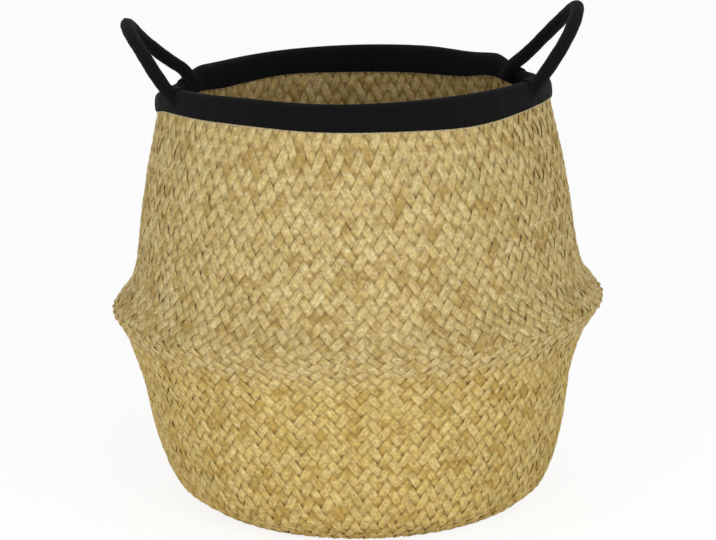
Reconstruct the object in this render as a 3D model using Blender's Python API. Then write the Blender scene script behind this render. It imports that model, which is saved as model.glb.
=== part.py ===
"""Belly basket plaited from seagrass, with a cloth-bound rim and two rope handles.

Metres, +Z up, standing on the floor at z = 0. The handles are at -X and +X and
the front is at -Y. Every round piece is a ring of sections about the Z axis, and
the same small unevenness of the soft rim shapes all the pieces that meet there.
"""

import math

import bmesh
import bpy
from mathutils import Vector

# Plaited body
FOOT_RADIUS = 0.1172
RIDGE_RADIUS = 0.180
RIDGE_HEIGHT = 0.1475
BODY_HEIGHT = 0.315
WALL_THICKNESS = 0.003
BASE_THICKNESS = 0.003

# Main ribs of the herringbone on both skins of the walls, fewer than the real strands
RIB_ROW_HEIGHT = 0.0110
RIB_CROWN = 0.0003
RIB_VALLEY = 0.0008

# Rim binding, its filler cord and its two stitch lines
RIM_RADIUS = 0.1445
BINDING_HEIGHT = 0.0175
BINDING_CLOTH = 0.0022
BINDING_TOP_ROUNDING = 0.0030
RIM_CORD_DIAMETER = 0.0030
STITCH_THREAD_DIAMETER = 0.0012

# Unevenness of the soft rim, seen from above and from the side
RIM_CORNER_DRAW = 0.007
RIM_FRONT_DRAW = 0.001
RIM_SIDE_DROP = 0.0024
HANDLE_DIP = 0.0045
HANDLE_DIP_HALF_ANGLE = math.radians(24.0)

# Handles
HANDLE_ROPE_DIAMETER = 0.011
HANDLE_COVER_CLOTH = 0.0010
HANDLE_RISE = 0.047
HANDLE_LEAN = math.radians(42.5)
HANDLE_ROOT_ANGLE = math.radians(22.5)
HANDLE_ROOT_OUTSET = 0.0035
HANDLE_ROUNDNESS = 1.9
HANDLE_MOUTH_RADIUS = 0.0022
HANDLE_END_CLOTH = 0.0015
HANDLE_END_HEIGHT = 0.0125
HANDLE_END_WIDTH = 0.013

# Clearance between pieces that touch
SEAT_GAP = 0.0003

# Body outline from the floor to the belly ridge: shares of the ridge height, and
# of the step from the foot radius to the ridge radius
LOWER_OUTLINE_SHARES = (
    (0.000, 0.000),
    (0.033, 0.127),
    (0.100, 0.320),
    (0.200, 0.422),
    (0.333, 0.508),
    (0.500, 0.600),
    (0.665, 0.685),
    (0.800, 0.768),
    (0.880, 0.834),
    (0.940, 0.925),
    (1.000, 1.000),
)
# From the ridge to the foot of the binding: shares of that height, and of the step
# from the wall's radius at the rim to the ridge radius
UPPER_OUTLINE_SHARES = (
    (0.000, 1.000),
    (0.030, 0.955),
    (0.076, 0.805),
    (0.122, 0.655),
    (0.175, 0.575),
    (0.241, 0.512),
    (0.334, 0.455),
    (0.499, 0.375),
    (0.731, 0.220),
    (0.838, 0.130),
    (1.000, 0.000),
)

# Facets
RING_SEGMENTS = 84
ROPE_SIDES = 10
CORD_SIDES = 6
THREAD_SIDES = 5
HANDLE_STEPS = 22
CAP_STEPS = 3
HANDLE_END_STEPS = 4
SMOOTH_UP_TO = math.radians(40.0)
RIBS_SMOOTH_UP_TO = math.radians(6.0)

# Finishes: colour, roughness and metallic value
SEAGRASS_GREY = ((0.50, 0.38, 0.18, 1.0), 0.75, 0.0)
SEAGRASS_GOLD = ((0.56, 0.41, 0.15, 1.0), 0.72, 0.0)
BLACK_CLOTH = ((0.014, 0.014, 0.018, 1.0), 0.85, 0.0)
ROPE_CORE = ((0.46, 0.40, 0.30, 1.0), 0.85, 0.0)
PALE_THREAD = ((0.62, 0.55, 0.40, 1.0), 0.70, 0.0)

BINDING_THICKNESS = 2 * BINDING_CLOTH + 2 * SEAT_GAP + WALL_THICKNESS
WALL_RIM_RADIUS = RIM_RADIUS - BINDING_CLOTH - SEAT_GAP
HANDLE_RADIUS = HANDLE_ROPE_DIAMETER / 2
THREAD_RADIUS = STITCH_THREAD_DIAMETER / 2
BINDING_FOOT = BODY_HEIGHT - BINDING_HEIGHT


def clear_scene():
    """Remove every object that is in the scene."""
    for item in list(bpy.data.objects):
        bpy.data.objects.remove(item, do_unlink=True)


def make_material(name, finish):
    """Return a Principled material with the finish's colour and roughness."""
    colour, roughness, metallic = finish
    material = bpy.data.materials.new(name)
    material.use_nodes = True
    shader = material.node_tree.nodes["Principled BSDF"]
    shader.inputs["Base Color"].default_value = colour
    shader.inputs["Roughness"].default_value = roughness
    shader.inputs["Metallic"].default_value = metallic
    material.diffuse_color = colour
    return material


def add_object(name, shape, finish, parent=None, smooth_up_to=SMOOTH_UP_TO):
    """Turn a bmesh into a named object, shaded smooth across edges up to an angle."""
    bmesh.ops.recalc_face_normals(shape, faces=shape.faces)
    mesh = bpy.data.meshes.new(name)
    shape.to_mesh(mesh)
    shape.free()
    mesh.shade_smooth()
    mesh.set_sharp_from_angle(angle=smooth_up_to)
    mesh.materials.append(make_material(name, finish))
    item = bpy.data.objects.new(name, mesh)
    bpy.context.scene.collection.objects.link(item)
    if parent is not None:
        item.parent = parent
        item.matrix_parent_inverse = parent.matrix_world.inverted()
    return item


def add_empty(name, place, parent=None):
    """Add an empty that stands on a joint's axis."""
    empty = bpy.data.objects.new(name, None)
    empty.location = place
    bpy.context.scene.collection.objects.link(empty)
    if parent is not None:
        empty.parent = parent
        empty.matrix_parent_inverse = parent.matrix_world.inverted()
    bpy.context.view_layer.update()
    return empty


def smooth_step(value):
    """Return 0 below 0, 1 above 1 and a smooth turn between them."""
    held = min(max(value, 0.0), 1.0)
    return held * held * (3 - 2 * held)


def rim_weight(height):
    """Return how much of the rim's unevenness a height on the body has, 0 to 1."""
    return smooth_step((height - RIDGE_HEIGHT) / (BODY_HEIGHT - RIDGE_HEIGHT))


def handle_nearness(angle):
    """Return 1 at the middle of a handle and a soft fall to 0 beside it."""
    away = math.asin(min(abs(math.sin(angle)), 1.0)) / HANDLE_DIP_HALF_ANGLE
    return math.exp(-away * away)


def shaped_point(angle, radius, height):
    """Place a point of the round body, with the soft rim's unevenness."""
    weight = rim_weight(height)
    corner = RIM_CORNER_DRAW * (1 - math.cos(4 * angle)) / 2
    front = RIM_FRONT_DRAW * (1 - math.cos(2 * angle)) / 2
    reach = radius - weight * (corner + front)
    lift = RIM_SIDE_DROP * math.cos(angle) - HANDLE_DIP * handle_nearness(angle)
    return Vector((reach * math.cos(angle), reach * math.sin(angle), height + weight * lift))


def scaled_outline(shares, low, high, inner, outer):
    """Turn shares of a height step and a radius step into (radius, height) points."""
    return [
        (inner + radius_share * (outer - inner), low + height_share * (high - low))
        for height_share, radius_share in shares
    ]


def inner_outline(outline, thickness):
    """Offset an outline inwards by a wall thickness, at the same heights."""
    points = []
    last = len(outline) - 1
    for index, (radius, height) in enumerate(outline):
        before = outline[max(index - 1, 0)]
        after = outline[min(index + 1, last)]
        slope = (after[0] - before[0]) / (after[1] - before[1])
        points.append((radius - thickness * math.hypot(1, slope), height))
    return points


def radius_at(outline, height):
    """Read an outline's radius at a height, between its points."""
    for (low_radius, low), (high_radius, high) in zip(outline, outline[1:]):
        if low <= height <= high:
            return low_radius + (high_radius - low_radius) * (height - low) / (high - low)
    raise ValueError("the height is outside the outline")


def cut_outline(outline, low, high):
    """Keep an outline's points between two heights, and add points at both cuts."""
    kept = [point for point in outline if low < point[1] < high]
    return [(radius_at(outline, low), low)] + kept + [(radius_at(outline, high), high)]


def split_outline(outline, spacing):
    """Add points to an outline, so that its points lie about a spacing apart."""
    points = outline[:1]
    for (low_radius, low), (high_radius, high) in zip(outline, outline[1:]):
        count = max(1, round(math.hypot(high_radius - low_radius, high - low) / spacing))
        for step in range(1, count + 1):
            share = step / count
            radius = low_radius + share * (high_radius - low_radius)
            points.append((radius, low + share * (high - low)))
    return points


def ribbed_skin(outline, column, side, plain_from):
    """Raise or sink every other point of one column of a wall's skin.

    The side is 1 on the outer skin and -1 on the inner one. Both edges stay plain, and
    so does everything from a height up, where the binding and its seam lie on the wall.
    """
    points = []
    last = len(outline) - 1
    for row, (radius, height) in enumerate(outline):
        lift = RIB_CROWN if (row + column) % 2 else -RIB_VALLEY
        if row in (0, last) or height >= plain_from:
            lift = 0
        points.append((radius + side * lift, height))
    return points


def plaited_ring(outer, inner, plain_from):
    """Make a wall from two skins, whose ribs slant one way and the other by turns."""
    shape = bmesh.new()
    columns = []
    for column in range(RING_SEGMENTS):
        angle = 2 * math.pi * column / RING_SEGMENTS
        points = []
        for outline, side in ((outer, 1), (inner, -1)):
            skin = ribbed_skin(outline, column, side, plain_from)
            points.append([shape.verts.new(shaped_point(angle, r, h)) for r, h in skin])
        columns.append(points)
    for column in range(RING_SEGMENTS):
        here = columns[column]
        there = columns[(column + 1) % RING_SEGMENTS]
        for first, second in zip(here, there):
            join_ribs(shape, first, second, column % 2)
        for end in (0, -1):
            shape.faces.new((here[0][end], there[0][end], there[1][end], here[1][end]))
    return shape


def join_ribs(shape, first, second, falling):
    """Fill triangles between two columns of points, cut along rising or falling diagonals."""
    for row in range(len(first) - 1):
        low, high = first[row], first[row + 1]
        far_low, far_high = second[row], second[row + 1]
        if falling:
            shape.faces.new((low, far_low, high))
            shape.faces.new((high, far_low, far_high))
        else:
            shape.faces.new((low, far_low, far_high))
            shape.faces.new((low, far_high, high))


def ring(section):
    """Carry a closed section of (radius, height) points round the Z axis."""
    shape = bmesh.new()
    turns = []
    for step in range(RING_SEGMENTS):
        angle = 2 * math.pi * step / RING_SEGMENTS
        turns.append([shape.verts.new(shaped_point(angle, r, h)) for r, h in section])
    join_rings(shape, turns + turns[:1])
    return shape


def ring_sector(section, middle, half_angle, steps):
    """Carry a closed section round a part of the circle and close both its ends."""
    shape = bmesh.new()
    turns = []
    for step in range(steps + 1):
        angle = middle + half_angle * (2 * step / steps - 1)
        turns.append([shape.verts.new(shaped_point(angle, r, h)) for r, h in section])
    join_rings(shape, turns)
    shape.faces.new(turns[0])
    shape.faces.new(turns[-1])
    return shape


def join_rings(shape, rings):
    """Fill quads between each ring of points and the next one."""
    for first, second in zip(rings, rings[1:]):
        count = len(first)
        for index in range(count):
            after = (index + 1) % count
            shape.faces.new((first[index], first[after], second[after], second[index]))


def round_section(radius, height, thickness, sides):
    """Return the points of a round cord's section about (radius, height)."""
    return [
        (
            radius + thickness * math.cos(2 * math.pi * side / sides),
            height + thickness * math.sin(2 * math.pi * side / sides),
        )
        for side in range(sides)
    ]


def lower_outline():
    """Return the outer outline below the belly ridge."""
    return scaled_outline(LOWER_OUTLINE_SHARES, 0, RIDGE_HEIGHT, FOOT_RADIUS, RIDGE_RADIUS)


def upper_outline():
    """Return the outer outline above the belly ridge, upright inside the binding."""
    sloping = scaled_outline(
        UPPER_OUTLINE_SHARES, RIDGE_HEIGHT, BINDING_FOOT, WALL_RIM_RADIUS, RIDGE_RADIUS
    )
    return sloping + [(WALL_RIM_RADIUS, BODY_HEIGHT)]


def plaited_wall(outline, low, high, plain_from):
    """Make a wall between two heights, without ribs above a third."""
    outer = cut_outline(outline, low, high)
    inner = cut_outline(inner_outline(outline, WALL_THICKNESS), low, high)
    skins = [split_outline(skin, RIB_ROW_HEIGHT) for skin in (outer, inner)]
    return plaited_ring(skins[0], skins[1], plain_from)


def seam_foot():
    """Return the height of the lower side of the stitches under the binding."""
    return BINDING_FOOT - SEAT_GAP - STITCH_THREAD_DIAMETER


def build_base():
    """Make the plaited bottom, a flat round that lies inside the wall's foot."""
    foot_inside = inner_outline(lower_outline(), WALL_THICKNESS)[0][0]
    radius = foot_inside - SEAT_GAP
    shape = bmesh.new()
    rims = []
    for height in (0, BASE_THICKNESS):
        rims.append(
            [
                shape.verts.new(shaped_point(2 * math.pi * step / RING_SEGMENTS, radius, height))
                for step in range(RING_SEGMENTS)
            ]
        )
    join_rings(shape, rims)
    shape.faces.new(rims[0])
    shape.faces.new(rims[1])
    return add_object("woven_base", shape, SEAGRASS_GOLD)


def build_lower_wall():
    """Make the plaited wall from the floor to the belly ridge."""
    wall = plaited_wall(lower_outline(), 0, RIDGE_HEIGHT - SEAT_GAP / 2, RIDGE_HEIGHT)
    return add_object("lower_wall", wall, SEAGRASS_GOLD, smooth_up_to=RIBS_SMOOTH_UP_TO)


def wall_top():
    """Return the height of the wall's upper edge, under the filler cord."""
    return BODY_HEIGHT - BINDING_CLOTH - SEAT_GAP - RIM_CORD_DIAMETER - SEAT_GAP


def build_upper_wall(parent):
    """Make the plaited wall from the belly ridge up into the rim binding."""
    low = RIDGE_HEIGHT + SEAT_GAP / 2
    wall = plaited_wall(upper_outline(), low, wall_top(), seam_foot() - SEAT_GAP)
    return add_object("upper_wall", wall, SEAGRASS_GREY, parent, RIBS_SMOOTH_UP_TO)


def build_rim_cord(parent):
    """Make the filler cord that lies on the wall's edge, in the fold of the binding."""
    thickness = RIM_CORD_DIAMETER / 2
    middle = RIM_RADIUS - BINDING_THICKNESS / 2
    height = wall_top() + SEAT_GAP + thickness
    section = round_section(middle, height, thickness, CORD_SIDES)
    return add_object("rim_cord", ring(section), ROPE_CORE, parent)


def binding_section():
    """Return the section of the cloth that is folded over the rim, an inverted U."""
    outer = RIM_RADIUS
    inner = RIM_RADIUS - BINDING_THICKNESS
    top = BODY_HEIGHT
    turn = BINDING_TOP_ROUNDING
    diagonal = turn * (1 - math.sqrt(0.5))
    outside = [
        (outer, BINDING_FOOT),
        (outer, top - turn),
        (outer - diagonal, top - diagonal),
        (outer - turn, top),
        (inner + turn, top),
        (inner + diagonal, top - diagonal),
        (inner, top - turn),
        (inner, BINDING_FOOT),
    ]
    inside = [
        (inner + BINDING_CLOTH, BINDING_FOOT),
        (inner + BINDING_CLOTH, top - BINDING_CLOTH),
        (outer - BINDING_CLOTH, top - BINDING_CLOTH),
        (outer - BINDING_CLOTH, BINDING_FOOT),
    ]
    return outside + inside


def build_binding(parent):
    """Make the black cloth binding."""
    return add_object("rim_binding", ring(binding_section()), BLACK_CLOTH, parent)


def build_stitch_lines(parent):
    """Make the seam's thread under the binding, outside and inside the wall."""
    height = BINDING_FOOT - SEAT_GAP - THREAD_RADIUS
    outside = upper_outline()
    inside = inner_outline(outside, WALL_THICKNESS)
    stand_off = SEAT_GAP + THREAD_RADIUS
    places = {
        "outer_stitch_line": radius_at(outside, height) + stand_off,
        "inner_stitch_line": radius_at(inside, height) - stand_off,
    }
    for name, radius in places.items():
        section = round_section(radius, height, THREAD_RADIUS, THREAD_SIDES)
        add_object(name, ring(section), PALE_THREAD, parent)


def handle_end_section():
    """Return the section of a sewn-down handle end, which straddles the binding."""
    outer = RIM_RADIUS + SEAT_GAP
    inner = RIM_RADIUS - BINDING_THICKNESS - SEAT_GAP
    top = BODY_HEIGHT + SEAT_GAP
    foot = BODY_HEIGHT - HANDLE_END_HEIGHT
    cloth = HANDLE_END_CLOTH
    return [
        (outer + cloth, foot),
        (outer + cloth, top - cloth),
        (outer, top + cloth),
        (inner, top + cloth),
        (inner - cloth, top - cloth),
        (inner - cloth, foot),
        (inner, foot),
        (inner, top),
        (outer, top),
        (outer, foot),
    ]


def root_angle(side, end):
    """Return a handle leg's angle: side is -1 for left, end is -1 for front."""
    offset = end * HANDLE_ROOT_ANGLE
    return offset if side > 0 else math.pi - offset


def root_place(side, end):
    """Return the middle of a handle leg's rounded end, on the handle's hinge axis."""
    lift = SEAT_GAP + HANDLE_END_CLOTH + SEAT_GAP + HANDLE_RADIUS
    middle = RIM_RADIUS - BINDING_THICKNESS / 2 + HANDLE_ROOT_OUTSET
    seat = shaped_point(root_angle(side, end), middle, BODY_HEIGHT)
    return seat + Vector((0, 0, lift))


def build_handle_end(name, side, end, parent):
    """Make one flattened handle end, sewn down over the binding."""
    half_angle = HANDLE_END_WIDTH / 2 / RIM_RADIUS
    shape = ring_sector(handle_end_section(), root_angle(side, end), half_angle, HANDLE_END_STEPS)
    return add_object(name, shape, BLACK_CLOTH, parent)


def handle_path(front, back, side):
    """Return the arch of a handle's centre line from its front leg to its back leg."""
    middle = (front + back) / 2
    along = (back - front) / 2
    rise = HANDLE_RISE * Vector((side * math.sin(HANDLE_LEAN), 0, math.cos(HANDLE_LEAN)))
    power = 2 / HANDLE_ROUNDNESS
    points = []
    for step in range(HANDLE_STEPS + 1):
        turn = math.pi * step / HANDLE_STEPS
        across = -math.copysign(abs(math.cos(turn)) ** power, math.cos(turn))
        points.append(middle + along * across + rise * math.sin(turn) ** power)
    return points


def rope_ring(shape, centre, tangent, face_normal, radius):
    """Add a round of points square to the rope's direction."""
    side = face_normal.cross(tangent).normalized()
    points = []
    for step in range(ROPE_SIDES):
        turn = 2 * math.pi * step / ROPE_SIDES
        place = centre + radius * (math.cos(turn) * side + math.sin(turn) * face_normal)
        points.append(shape.verts.new(place))
    return points


def rope_rings(shape, path, radius, mouth_radius):
    """Add the rounds of a rope along a path, with domed ends drawn in to a mouth."""
    face_normal = (path[0] - path[len(path) // 2]).cross(path[-1] - path[0]).normalized()
    tangents = []
    last = len(path) - 1
    for index in range(len(path)):
        step = path[min(index + 1, last)] - path[max(index - 1, 0)]
        tangents.append(step.normalized())
    most = math.acos(mouth_radius / radius)
    rings = []
    for step in range(CAP_STEPS, 0, -1):
        turn = most * step / CAP_STEPS
        centre = path[0] - tangents[0] * radius * math.sin(turn)
        reach = radius * math.cos(turn)
        rings.append(rope_ring(shape, centre, tangents[0], face_normal, reach))
    for point, tangent in zip(path, tangents):
        rings.append(rope_ring(shape, point, tangent, face_normal, radius))
    for step in range(1, CAP_STEPS + 1):
        turn = most * step / CAP_STEPS
        centre = path[-1] + tangents[-1] * radius * math.sin(turn)
        reach = radius * math.cos(turn)
        rings.append(rope_ring(shape, centre, tangents[-1], face_normal, reach))
    return rings


def build_handle(name, side, parent):
    """Make one handle: the cloth cover and the rope core inside it."""
    path = handle_path(root_place(side, -1), root_place(side, 1), side)
    cover = bmesh.new()
    outside = rope_rings(cover, path, HANDLE_RADIUS, HANDLE_MOUTH_RADIUS)
    bore = HANDLE_RADIUS - HANDLE_COVER_CLOTH
    inside = rope_rings(cover, path, bore, HANDLE_MOUTH_RADIUS)
    join_rings(cover, outside + inside[::-1] + outside[:1])
    add_object(name + "_handle_cover", cover, BLACK_CLOTH, parent)

    core = bmesh.new()
    strands = rope_rings(core, path, bore - SEAT_GAP, HANDLE_MOUTH_RADIUS)
    join_rings(core, strands)
    core.faces.new(strands[0])
    core.faces.new(strands[-1])
    add_object(name + "_handle_core", core, ROPE_CORE, parent)


def build_handles(rim):
    """Make both handles, each under an empty on its hinge axis, and their ends."""
    for side, name in ((-1, "left"), (1, "right")):
        middle = (root_place(side, -1) + root_place(side, 1)) / 2
        hinge = add_empty(name + "_handle_hinge", middle, rim)
        build_handle(name, side, hinge)
        for end, place in ((-1, "front"), (1, "back")):
            build_handle_end(name + "_" + place + "_handle_end", side, end, rim)


def main():
    """Build the basket."""
    clear_scene()
    build_base()
    build_lower_wall()
    rim = add_empty("rim_slide", (0, 0, RIDGE_HEIGHT))
    build_upper_wall(rim)
    build_rim_cord(rim)
    build_binding(rim)
    build_stitch_lines(rim)
    build_handles(rim)


main()
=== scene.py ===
"""A belly basket plaited from seagrass, with a cloth-bound rim and two rope handles.

The looks of the basket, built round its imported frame. Metres, +Z up, standing on the
floor at z = 0 with the front at -Y and the handles at -X and +X.
"""

import logging
import math
from dataclasses import dataclass
from enum import Enum

import bpy
import numpy as np
from mathutils import Matrix, Vector


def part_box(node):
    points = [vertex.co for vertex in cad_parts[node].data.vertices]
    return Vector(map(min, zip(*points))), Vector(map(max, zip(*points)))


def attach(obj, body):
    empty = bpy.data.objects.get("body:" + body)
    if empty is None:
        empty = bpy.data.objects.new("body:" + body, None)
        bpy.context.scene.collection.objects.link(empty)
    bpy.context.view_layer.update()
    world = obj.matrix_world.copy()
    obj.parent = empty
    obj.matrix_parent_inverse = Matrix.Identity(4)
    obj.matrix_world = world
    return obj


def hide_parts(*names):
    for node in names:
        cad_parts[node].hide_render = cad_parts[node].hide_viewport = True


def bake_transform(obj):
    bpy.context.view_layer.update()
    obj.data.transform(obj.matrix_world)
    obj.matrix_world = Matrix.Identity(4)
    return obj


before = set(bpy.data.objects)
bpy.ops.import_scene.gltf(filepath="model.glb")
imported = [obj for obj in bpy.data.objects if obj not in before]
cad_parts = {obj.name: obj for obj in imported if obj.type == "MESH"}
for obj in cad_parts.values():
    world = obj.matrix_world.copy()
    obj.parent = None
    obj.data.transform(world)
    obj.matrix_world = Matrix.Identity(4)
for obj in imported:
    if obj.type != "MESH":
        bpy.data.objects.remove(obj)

LOG = logging.getLogger("belly_basket")
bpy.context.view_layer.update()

# Names of the mesh attributes that the finishes read
STRAND_PLACE = "strand_place"
STRAND_LIFT = "strand_lift"
REST_PLACE = "rest_place"
CLOTH_PLACE = "cloth_place"
CORD_PLACE = "cord_place"

# What brings summed waves to about -1 to 1, and the angle from which an edge is shaded sharp
WAVES_HEIGHT = 1.6
SHARP_FROM = math.radians(60)

Socket = bpy.types.NodeSocket
Colour = Socket | tuple[float, float, float, float]
Rgb = tuple[int, int, int]
Pair = tuple[float, float]
Triple = tuple[float, float, float]

# A dark seagrass tone: the fibres' own streaks and mottle, and painted shade between and under
# strands
FIBRE_DARK_AND_GAP_SHADE = (136, 106, 56)
ROPE_PALE = (208, 194, 158)
# Painted shade in the rope's grooves, also the tone of its darker hairs
ROPE_GROOVE_SHADE_AND_HAIR = (128, 112, 80)
WHITE = (1, 1, 1, 1)
UPRIGHT = np.array([0.0, 0.0, 1.0])


class Side(Enum):
    """The side of the basket that a handle stands on."""

    LEFT = -1
    RIGHT = 1


class Climb(Enum):
    """The way that a family of strands turns round the wall as it climbs."""

    RIGHTWARD = 1
    LEFTWARD = -1


STRAND_SEEDS = {Climb.RIGHTWARD: 11, Climb.LEFTWARD: 23}


class Cloth(Enum):
    """The black cloths, as their brightness over the binding's own."""

    BINDING = 1.0
    HANDLE = 1.2


def smooth_step(values: np.ndarray) -> np.ndarray:
    """Turn values smoothly from 0, below 0, to 1, above 1."""
    held = np.clip(values, 0.0, 1.0)
    return held * held * (3 - 2 * held)


def joined(*parts: np.ndarray | float) -> np.ndarray:
    """Join numbers into vectors, along a new last axis."""
    return np.stack(np.broadcast_arrays(*parts), axis=-1)


def full_turn(steps: int) -> np.ndarray:
    """Return evenly spaced angles, once round."""
    return 2 * math.pi * np.arange(steps) / steps


def unit(vectors: np.ndarray) -> np.ndarray:
    """Scale vectors to length 1."""
    return vectors / np.maximum(np.linalg.norm(vectors, axis=-1, keepdims=True), 1e-12)


def level_outward(centres: np.ndarray) -> np.ndarray:
    """Return the level directions away from the basket's axis."""
    return unit(centres * np.array([1.0, 1.0, 0.0]))


def right_of(line: np.ndarray) -> np.ndarray:
    """Return the normals on the right of a line of two numbers, at each of its points."""
    direction = unit(np.gradient(line, axis=0))
    return joined(direction[:, 1], -direction[:, 0])


def lengths_along(points: np.ndarray) -> np.ndarray:
    """Return how far along its line, from the first point, each point lies."""
    spans = np.linalg.norm(np.diff(points, axis=-2), axis=-1)
    return np.concatenate([np.zeros((*spans.shape[:-1], 1)), np.cumsum(spans, axis=-1)], axis=-1)


def spaced_evenly(points: np.ndarray, count: int) -> np.ndarray:
    """Resample a line evenly.

    Args:
        points: The line's points as rows.
        count: How many points the new line has.

    Returns:
        The new points.
    """
    lengths = lengths_along(points)
    at = np.linspace(0, lengths[-1], count)
    return np.column_stack([np.interp(at, lengths, column) for column in points.T])


def unevenness(along: np.ndarray, seed: int, waves: int = 4) -> np.ndarray:
    """Return a smooth handmade unevenness of about -1 to 1, different in each row.

    Args:
        along: Places along each row, one row for each strand, one wave long at 1.
        seed: The seed of the waves' phases.
        waves: How many waves are summed.

    Returns:
        An array of the same shape.
    """
    draw = np.random.default_rng(seed)
    total = np.zeros(along.shape)
    for wave in range(1, waves + 1):
        phase = draw.uniform(0, 2 * math.pi, (along.shape[0], 1))
        pace = draw.uniform(0.6, 1.4, (along.shape[0], 1)) * wave
        total += np.sin(2 * math.pi * pace * along + phase) / wave
    return total / WAVES_HEIGHT


def softened(points: np.ndarray, step: float, reach: float) -> np.ndarray:
    """Resample a polyline evenly and round its corners, with its ends kept.

    Args:
        points: Corners as rows of two numbers.
        step: The distance between the new points.
        reach: How far along the line a corner is rounded.

    Returns:
        The new points as rows of two numbers.
    """
    fine = spaced_evenly(points, int(round(lengths_along(points)[-1] / step)) + 1)
    width = max(1, int(round(reach / step)))
    head = 2 * fine[0] - fine[width:0:-1]
    tail = 2 * fine[-1] - fine[-2:-width - 2:-1]
    padded = np.vstack([head, fine, tail])
    weights = np.hanning(2 * width + 3)[1:-1]
    weights = weights / weights.sum()
    return np.column_stack([np.convolve(column, weights, "valid") for column in padded.T])


def tangents(centres: np.ndarray, closed: bool = False) -> np.ndarray:
    """Return the directions of sweeps along their rings.

    Args:
        centres: Ring centres, shaped sweeps by rings by 3.
        closed: Whether each sweep joins up with its own start.

    Returns:
        Unit vectors of the same shape.
    """
    if closed:
        return unit(np.roll(centres, -1, axis=1) - np.roll(centres, 1, axis=1))
    return unit(np.gradient(centres, axis=1))


def section_rings(
    centres: np.ndarray,
    outward: np.ndarray,
    half_width: np.ndarray | float,
    half_thickness: np.ndarray | float,
    sides: int,
    closed: bool = False,
    reach: np.ndarray | float = 1.0,
) -> np.ndarray:
    """Place an oval section square to each sweep at each of its rings.

    Args:
        centres: Ring centres, shaped sweeps by rings by 3.
        outward: The side that each section's flat faces, of the same shape.
        half_width: Half the section's width, one for all or shaped sweeps by rings.
        half_thickness: Half its thickness, in the same way.
        sides: How many points a section has.
        closed: Whether each sweep joins up with its own start.
        reach: How far each point stands out, as a share.

    Returns:
        Points shaped sweeps by rings by sides by 3.
    """
    along = tangents(centres, closed)
    across = unit(np.cross(outward, along))
    up = np.cross(along, across)
    turn = full_turn(sides)
    wide = (np.asarray(half_width)[..., None] * np.cos(turn) * reach)[..., None]
    thick = (np.asarray(half_thickness)[..., None] * np.sin(turn) * reach)[..., None]
    return centres[:, :, None] + wide * across[:, :, None] + thick * up[:, :, None]


def put(name: str, data: bpy.types.ID) -> bpy.types.Object:
    """Put a mesh, a light or a camera into the scene.

    Args:
        name: The object's name.
        data: What it shows.

    Returns:
        The object.
    """
    item = bpy.data.objects.new(name, data)
    bpy.context.scene.collection.objects.link(item)
    return item


def loft(name: str, points: np.ndarray, closed: bool = False) -> bpy.types.Object:
    """Skin the rings of one or more sweeps into a mesh of closed bodies.

    Args:
        name: The piece's name.
        points: Ring points, shaped sweeps by rings by sides by 3.
        closed: Whether each sweep joins up with its own start; otherwise its ends are capped.

    Returns:
        The new object.
    """
    sweeps, rings, sides = points.shape[:3]
    start = np.arange(sweeps)[:, None] * rings * sides
    sweep = start[..., None]
    ring = np.arange(rings if closed else rings - 1)[None, :, None]
    side = np.arange(sides)[None, None, :]
    after = (ring + 1) % rings
    beside = (side + 1) % sides
    corners = (
        sweep + ring * sides + side,
        sweep + ring * sides + beside,
        sweep + after * sides + beside,
        sweep + after * sides + side,
    )
    quads = joined(*corners).reshape(-1, 4)
    caps = np.empty((0, sides), int)
    if not closed:
        heads = (start + np.arange(sides))[:, ::-1]
        tails = start + (rings - 1) * sides + np.arange(sides)
        caps = np.vstack([heads, tails])
    flat = points.reshape(-1, 3)
    if facing_in(flat, quads[: len(quads) // sweeps]):
        quads = quads[:, ::-1]
        caps = caps[:, ::-1]
    mesh = bpy.data.meshes.new(name)
    mesh.vertices.add(len(flat))
    mesh.vertices.foreach_set("co", flat.astype(np.float32).ravel())
    loops = np.concatenate([quads.ravel(), caps.ravel()])
    totals = np.concatenate([np.full(len(quads), 4), np.full(len(caps), sides)])
    mesh.loops.add(len(loops))
    mesh.loops.foreach_set("vertex_index", loops.astype(np.int32))
    mesh.polygons.add(len(totals))
    starts = np.concatenate([[0], np.cumsum(totals)[:-1]])
    mesh.polygons.foreach_set("loop_start", starts.astype(np.int32))
    mesh.update(calc_edges=True)
    mesh.validate()
    mesh.shade_smooth()
    mesh.set_sharp_from_angle(angle=SHARP_FROM)
    return put(name, mesh)


def facing_in(points: np.ndarray, quads: np.ndarray) -> bool:
    """Tell whether a closed sweep's faces point inwards.

    Args:
        points: All points.
        quads: The sweep's faces, without its caps.

    Returns:
        True if the faces have to be turned over.
    """
    corners = points[quads] - points[quads].mean(axis=(0, 1))
    first = np.cross(corners[:, 0], corners[:, 1])
    second = np.cross(corners[:, 0], corners[:, 2])
    volume = (first * corners[:, 2]).sum() + (second * corners[:, 3]).sum()
    return bool(volume < 0)


def store(piece: bpy.types.Object, name: str, values: np.ndarray) -> None:
    """Keep a vector, named as the finish reads it, at each point of a mesh."""
    attribute = piece.data.attributes.new(name, "FLOAT_VECTOR", "POINT")
    attribute.data.foreach_set("vector", values.reshape(-1).astype(np.float32))


def store_rest(piece: bpy.types.Object) -> None:
    """Keep each point's own place at rest, so that colours stay with the piece in a pose."""
    places = np.empty(len(piece.data.vertices) * 3, np.float32)
    piece.data.vertices.foreach_get("co", places)
    store(piece, REST_PLACE, places)


def store_lie(
    piece: bpy.types.Object, name: str, centres: np.ndarray, across: np.ndarray, mark: np.ndarray
) -> None:
    """Keep how far along and across its sweep each point of a loft lies.

    Args:
        piece: The lofted piece.
        name: The attribute's name.
        centres: Ring centres, shaped sweeps by rings by 3.
        across: The place across each section, one number for each side.
        mark: One number for each sweep.
    """
    along = lengths_along(centres)
    store(piece, name, joined(along[..., None], across, mark[:, None, None]))


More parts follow.
